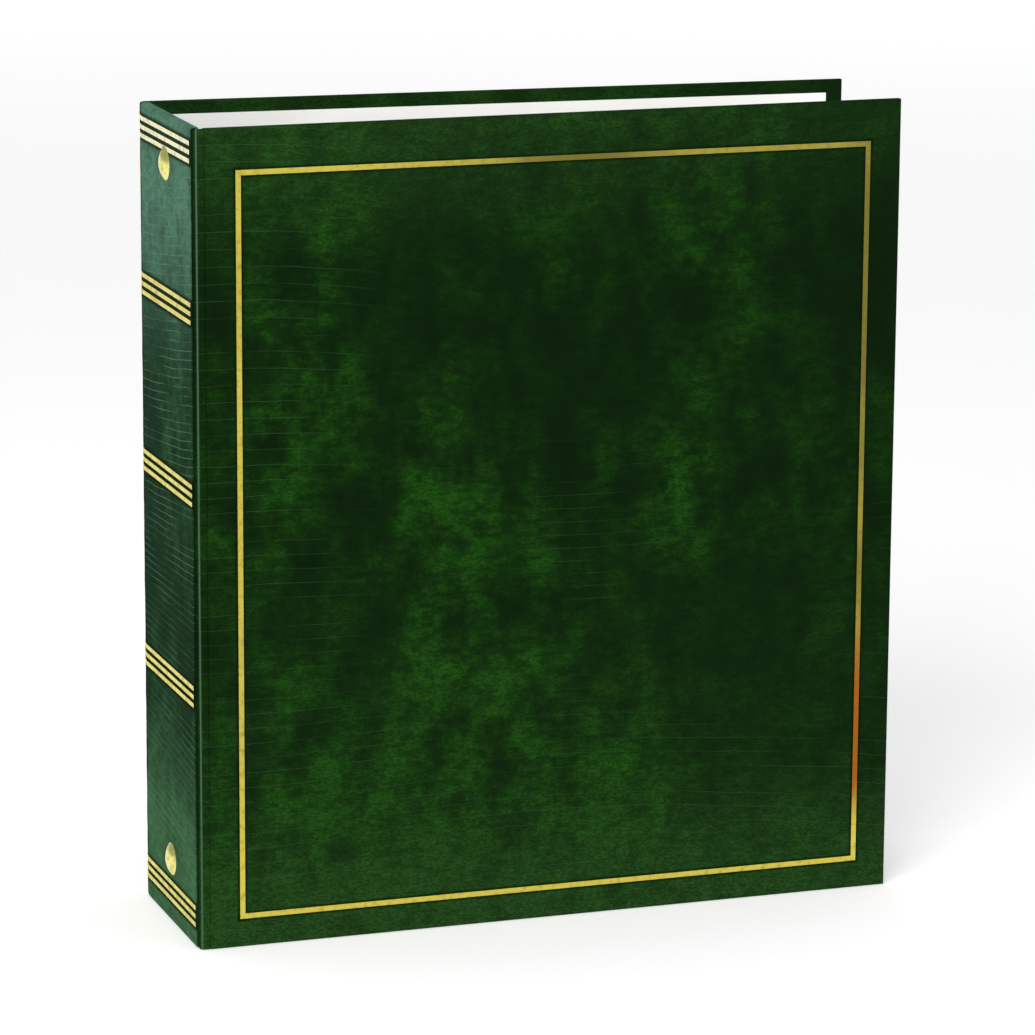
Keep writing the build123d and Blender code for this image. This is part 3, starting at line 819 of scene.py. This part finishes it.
def leaf_hole(settings, y, z, centre_x):
    """One hole's outline in a leaf at a distance y from the middle, on the path round the ring."""
    points = []
    steps = 28
    for step in range(steps):
        a = math.tau * step / steps
        reach = settings.hole_path + settings.hole_radius * math.cos(a)
        across = centre_x + math.sqrt(reach ** 2 - y ** 2)
        points.append((across, z + settings.hole_radius * math.sin(a)))
    return points


def add_sheet(form, outline, holes, y0, y1):
    """A sheet with holes between two planes."""
    edges = []
    for loop in (outline, *holes):
        verts = [form.verts.new((x, y0, z)) for x, z in loop]
        edges += [form.edges.new(pair) for pair in zip(verts, verts[1:] + verts[:1])]
    filled = bmesh.ops.triangle_fill(form, use_beauty=True, use_dissolve=False, edges=edges)
    faces = [part for part in filled["geom"] if isinstance(part, bmesh.types.BMFace)]
    grown = bmesh.ops.extrude_face_region(form, geom=faces)
    for part in grown["geom"]:
        if isinstance(part, bmesh.types.BMVert):
            part.co.y = y1


def leaf_sheet(form, settings, low, high, y0, y1, slip_x=0.0, slip_z=0.0):
    """One leaf: its outline inside a box, and its holes on the rings."""
    middle = (y0 + y1) / 2
    centre = ring_centre()
    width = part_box("front_leaf_1")[1].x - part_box("front_leaf_1")[0].x
    edge = centre + math.sqrt(settings.hole_path ** 2 - middle ** 2) - settings.hole_inset
    corner_low = Vector((edge + slip_x, 0, low.z + slip_z))
    corner_high = Vector((edge + width + slip_x, 0, high.z + slip_z))
    outline = leaf_outline(corner_low, corner_high, settings.corner_radius)
    holes = [leaf_hole(settings, middle, z, centre) for z in ring_heights()]
    add_sheet(form, outline, holes, y0, y1)


def make_stack(side, settings, material):
    """A stack of leaves, each a sheet of its own and a little out of line."""
    low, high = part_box(f"{side}_leaf_stack")
    chance = random.Random(len(side) * 31)
    form = bmesh.new()
    count = int((high.y - low.y - settings.sheet_thickness) / settings.sheet_pitch) + 1
    pitch = (high.y - low.y - settings.sheet_thickness) / (count - 1)
    for number in range(count):
        y0 = low.y + number * pitch
        slip_x = chance.uniform(-1, 0.4) * settings.sheet_slip
        slip_z = chance.uniform(-1, 1) * settings.sheet_slip * 0.7
        leaf_sheet(form, settings, low, high, y0, y0 + settings.sheet_thickness, slip_x, slip_z)
    piece = new_piece(f"{side}_leaves", form, material, smooth=False)
    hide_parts(f"{side}_leaf_stack")
    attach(piece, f"{side}_leaves")


def make_loose_leaf(node, settings, material):
    """A single leaf."""
    low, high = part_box(node)
    form = bmesh.new()
    leaf_sheet(form, settings, low, high, low.y, high.y)
    piece = new_piece(f"{node}_card", form, material, smooth=False)
    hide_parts(node)
    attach(piece, node)


def add_strip(form, settings, x0, x1, z0, z1, face, out):
    """One clear strip: welded to the leaf at its foot, and standing off at its open edge."""
    film = settings.film
    seat = 0.00001
    profile = [
        (z0, seat),
        (z0 + settings.weld, seat),
        (z0 + settings.weld + 0.0008, seat + 0.00004),
        (z1 - 0.0015, settings.lift * 0.75),
        (z1, settings.lift),
    ]
    outside = [(z, y + film) for z, y in reversed(profile)]
    section = profile + outside
    count = 9
    rings = []
    for step in range(count):
        x = x0 + (x1 - x0) * step / (count - 1)
        sag = 1.0 - 0.25 * math.sin(math.pi * step / (count - 1) * 2)
        ring = []
        for z, y in section:
            sagged = y * sag if y > film * 2 else y
            ring.append(Vector((x, face + out * sagged, z)))
        rings.append(ring)
    loft(form, rings)


def make_strips(node, leaf, body, faces, settings, material):
    """All the clear strips on one leaf or stack."""
    low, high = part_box(node)
    form = bmesh.new()
    pitch = (high.z - low.z + settings.strip_gap) / settings.strips
    for face, out in faces:
        for number in range(settings.strips):
            z0 = low.z + number * pitch
            z1 = z0 + pitch - settings.strip_gap
            add_strip(form, settings, low.x, high.x, z0, z1, face, out)
    piece = crisp(new_piece(f"{leaf}_clear_strips", form, material), 30)
    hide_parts(node)
    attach(piece, body)


# Operators


class ALBUM_OT_leatherette(bpy.types.Operator):
    """Finish the covers, the spine and their boards"""

    bl_idname = "album.leatherette"
    bl_label = "Covers and spine"

    def execute(self, context):
        leather = context.scene.album.leatherette
        cover = {
            "deep": leather.cover_deep[:],
            "bright": leather.cover_bright[:],
            "overlay": constant(leather.cover_worn[:]),
            "crease": leather.cover_crease[:],
            "gap": leather.cover_crease_gap,
            "width": 0.016,
            "strength": 0.5,
            "pore": 0.55,
            "light": cover_light,
            "wear_and_sheen": cover_wear,
            "creases": cover_crease_zones,
            "pressed_shade": constant(0.0),
            "fold": False,
        }
        spine = cover | {
            "deep": leather.spine_deep[:],
            "bright": leather.spine_bright[:],
            # The spine's paler head and foot are painted sheen.
            "overlay": spine_sheen_tone(leather),
            "crease": leather.spine_crease[:],
            "gap": leather.spine_crease_gap,
            "width": 0.055,
            "strength": 0.55,
            "pore": 0.25,
            "light": constant(1.0),
            "wear_and_sheen": spine_sheen,
            "creases": spine_crease_zones,
            "pressed_shade": bands_pressed_shade,
        }
        coat(leatherette_finish("back_cover_leatherette", leather, cover), "back_wrap")
        front = cover | {"pressed_shade": frame_pressed_shade}
        coat(leatherette_finish("front_cover_leatherette", leather, front), "front_wrap")
        teal = leatherette_finish("teal_spine_leatherette", leather, spine)
        coat(teal, "spine_wrap", "spine_lining")
        # The joints: painted shade in the groove and a painted highlight along the fold.
        joint = cover | {"pressed_shade": joint_groove_shade, "fold": True}
        leatherette_finish("joint_leatherette", leather, joint)
        coat(board_finish("binders_board"), "front_board", "back_board", "spine_board")
        return {"FINISHED"}


class ALBUM_OT_joints(bpy.types.Operator):
    """Build the two flexible joints between the covers and the spine"""

    bl_idname = "album.joints"
    bl_label = "Joints"

    def execute(self, context):
        settings = context.scene.album.joint
        material = material_named("joint_leatherette")
        for side in SIDES:
            place = JointPlace(side)
            make_joint(place, settings, material)
        return {"FINISHED"}


class ALBUM_OT_gilt(bpy.types.Operator):
    """Gild the frame and the bands, and run the bands on over the back joint"""

    bl_idname = "album.gilt"
    bl_label = "Gilt lines"

    def execute(self, context):
        settings = context.scene.album.gilt
        coat(frame_gilt_finish("frame_gilt", settings), "front_frame_foil")
        bands = band_gilt_finish("band_gilt", settings)
        coat(bands, "spine_bands")
        make_joint_bands(JointPlace("back"), context.scene.album.joint, settings.foil, bands)
        return {"FINISHED"}


class ALBUM_OT_rivets(bpy.types.Operator):
    """Finish the rivets and their collars"""

    bl_idname = "album.rivets"
    bl_label = "Rivets"

    def execute(self, context):
        coat(brass_finish("rivet_brass", context.scene.album.gilt), "spine_rivets", "rivet_collars")
        return {"FINISHED"}


class ALBUM_OT_ring_metal(bpy.types.Operator):
    """Finish the shield, blades, rings and levers"""

    bl_idname = "album.ring_metal"
    bl_label = "Ring metal"

    def execute(self, context):
        settings = context.scene.album.metal
        long, longer = (1.0, 1.0, 0.12), (1.0, 1.0, 0.05)
        tone = settings.nickel[:]
        nickel = metal_finish("nickel_plate", settings, tone, 0.10, 0.26, long)
        tone = settings.steel[:]
        steel = metal_finish("brushed_spring_steel", settings, tone, 0.28, 0.46, longer)
        rings = [f"{side}_ring_{name}" for side in SIDES for name in RINGS]
        coat(nickel, "ring_shield", "lever_pins", "top_lever", "bottom_lever", *rings)
        coat(steel, "front_blade", "back_blade")
        return {"FINISHED"}


class ALBUM_OT_paper(bpy.types.Operator):
    """Finish the endpapers, and build the leaves"""

    bl_idname = "album.paper"
    bl_label = "Endpapers and leaves"

    def execute(self, context):
        settings = context.scene.album.paper
        endpaper = paper_finish("white_endpaper", settings.endpaper[:], 0.00002)
        coat(endpaper, "front_endpaper", "back_endpaper")
        card = paper_finish("leaf_card", settings.leaf[:], 0.00004)
        for side in SIDES:
            make_stack(side, settings, card)
            for number in (1, 2):
                make_loose_leaf(f"{side}_leaf_{number}", settings, card)
        return {"FINISHED"}


class ALBUM_OT_strips(bpy.types.Operator):
    """Build the clear strips on the leaves"""

    bl_idname = "album.strips"
    bl_label = "Clear strips"

    def execute(self, context):
        settings = context.scene.album.paper
        film = film_finish("clear_film")
        for side in SIDES:
            for number in (1, 2):
                leaf = f"{side}_leaf_{number}"
                low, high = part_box(leaf)
                faces = ((low.y, -1), (high.y, 1))
                make_strips(f"{leaf}_strips", leaf, leaf, faces, settings, film)
            low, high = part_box(f"{side}_leaf_stack")
            faces = ((high.y, 1),) if side == "front" else ((low.y, -1),)
            stack = f"{side}_leaves"
            make_strips(f"{side}_stack_strips", stack, stack, faces, settings, film)
        return {"FINISHED"}


class ALBUM_OT_stage(bpy.types.Operator):
    """Lay the floor, and set the lights and the camera"""

    bl_idname = "album.stage"
    bl_label = "Stage"

    def execute(self, context):
        settings = context.scene.album.stage
        lay_floor(settings)
        light_world(settings)
        target = Vector((0.13, 0.0, 0.15))
        hang_light("key_light", settings.key, 1.6, Vector((-1.5, -1.9, 1.9)), target)
        hang_light("fill_light", settings.fill, 1.8, Vector((1.9, -2.0, 1.0)), target)
        hang_light("top_light", settings.overhead, 2.6, Vector((0.0, 0.3, 2.8)), target)
        place_camera(settings)
        context.scene.view_settings.view_transform = "Standard"
        return {"FINISHED"}


def lay_floor(settings):
    """A round pale floor under the album."""
    form = bmesh.new()
    bmesh.ops.create_circle(form, cap_ends=True, radius=settings.floor_radius, segments=96)
    mesh = bpy.data.meshes.new("floor")
    form.to_mesh(mesh)
    form.free()
    floor = bpy.data.objects.new("floor", mesh)
    floor.location.z = CAD_BOX[0][2] - 0.0001
    mesh.materials.append(floor_finish("pale_floor", settings))
    bpy.context.scene.collection.objects.link(floor)


def light_world(settings):
    """Even light from all round."""
    world = bpy.data.worlds.new("surroundings")
    world.use_nodes = True
    background = world.node_tree.nodes["Background"]
    background.inputs["Color"].default_value = (1.0, 1.0, 1.0, 1.0)
    background.inputs["Strength"].default_value = settings.world
    bpy.context.scene.world = world


def hang_light(name, power, size, place, target):
    """A square softbox that faces a point."""
    lamp = bpy.data.lights.new(name, "AREA")
    lamp.energy = power
    lamp.size = size
    light = bpy.data.objects.new(name, lamp)
    light.location = place
    light.rotation_euler = (target - place).to_track_quat("-Z", "Y").to_euler()
    bpy.context.scene.collection.objects.link(light)


def place_camera(settings):
    """The camera, from its place, turn, tilt and roll."""
    turn, tilt, roll = settings.camera_turn, settings.camera_tilt, settings.camera_roll
    level = math.cos(tilt)
    ahead = Vector((math.sin(turn) * level, math.cos(turn) * level, -math.sin(tilt)))
    right = Vector((math.cos(turn), -math.sin(turn), 0.0))
    down = ahead.cross(right)
    across = right * math.cos(roll) + down * math.sin(roll)
    below = down * math.cos(roll) - right * math.sin(roll)
    data = bpy.data.cameras.new("camera")
    data.lens = settings.lens
    data.sensor_width = 36.0
    data.clip_end = 60.0
    camera = bpy.data.objects.new("camera", data)
    turned = Matrix((across, -below, -ahead)).transposed().to_4x4()
    camera.matrix_world = Matrix.Translation(settings.camera_place) @ turned
    bpy.context.scene.collection.objects.link(camera)
    bpy.context.scene.camera = camera


# Add-on


GROUPS = (
    LeatheretteSettings,
    JointSettings,
    GiltSettings,
    PaperSettings,
    MetalSettings,
    StageSettings,
    AlbumSettings,
)
OPERATORS = (
    ALBUM_OT_leatherette,
    ALBUM_OT_joints,
    ALBUM_OT_gilt,
    ALBUM_OT_rivets,
    ALBUM_OT_ring_metal,
    ALBUM_OT_paper,
    ALBUM_OT_strips,
    ALBUM_OT_stage,
)


class ALBUM_PT_pieces(bpy.types.Panel):
    """The album's pieces, in the order they are made"""

    bl_idname = "ALBUM_PT_pieces"
    bl_label = "Stamp album"
    bl_space_type = "VIEW_3D"
    bl_region_type = "UI"
    bl_category = "Album"

    def draw(self, context):
        for operator in OPERATORS:
            self.layout.operator(operator.bl_idname, text=operator.bl_label)
        for group in ("leatherette", "joint", "gilt", "paper", "metal", "stage"):
            settings = getattr(context.scene.album, group)
            box = self.layout.box()
            box.label(text=group.capitalize())
            for name in type(settings).__annotations__:
                box.prop(settings, name)


def register():
    """Add the settings, the operators and the panel."""
    for kind in (*GROUPS, *OPERATORS, ALBUM_PT_pieces):
        bpy.utils.register_class(kind)
    bpy.types.Scene.album = PointerProperty(type=AlbumSettings)


def unregister():
    """Take them away again."""
    del bpy.types.Scene.album
    for kind in reversed((*GROUPS, *OPERATORS, ALBUM_PT_pieces)):
        bpy.utils.unregister_class(kind)


def main():
    """Make every piece."""
    register()
    for operator in OPERATORS:
        module, name = operator.bl_idname.split(".")
        getattr(getattr(bpy.ops, module), name)()


if __name__ == "__main__":
    main()
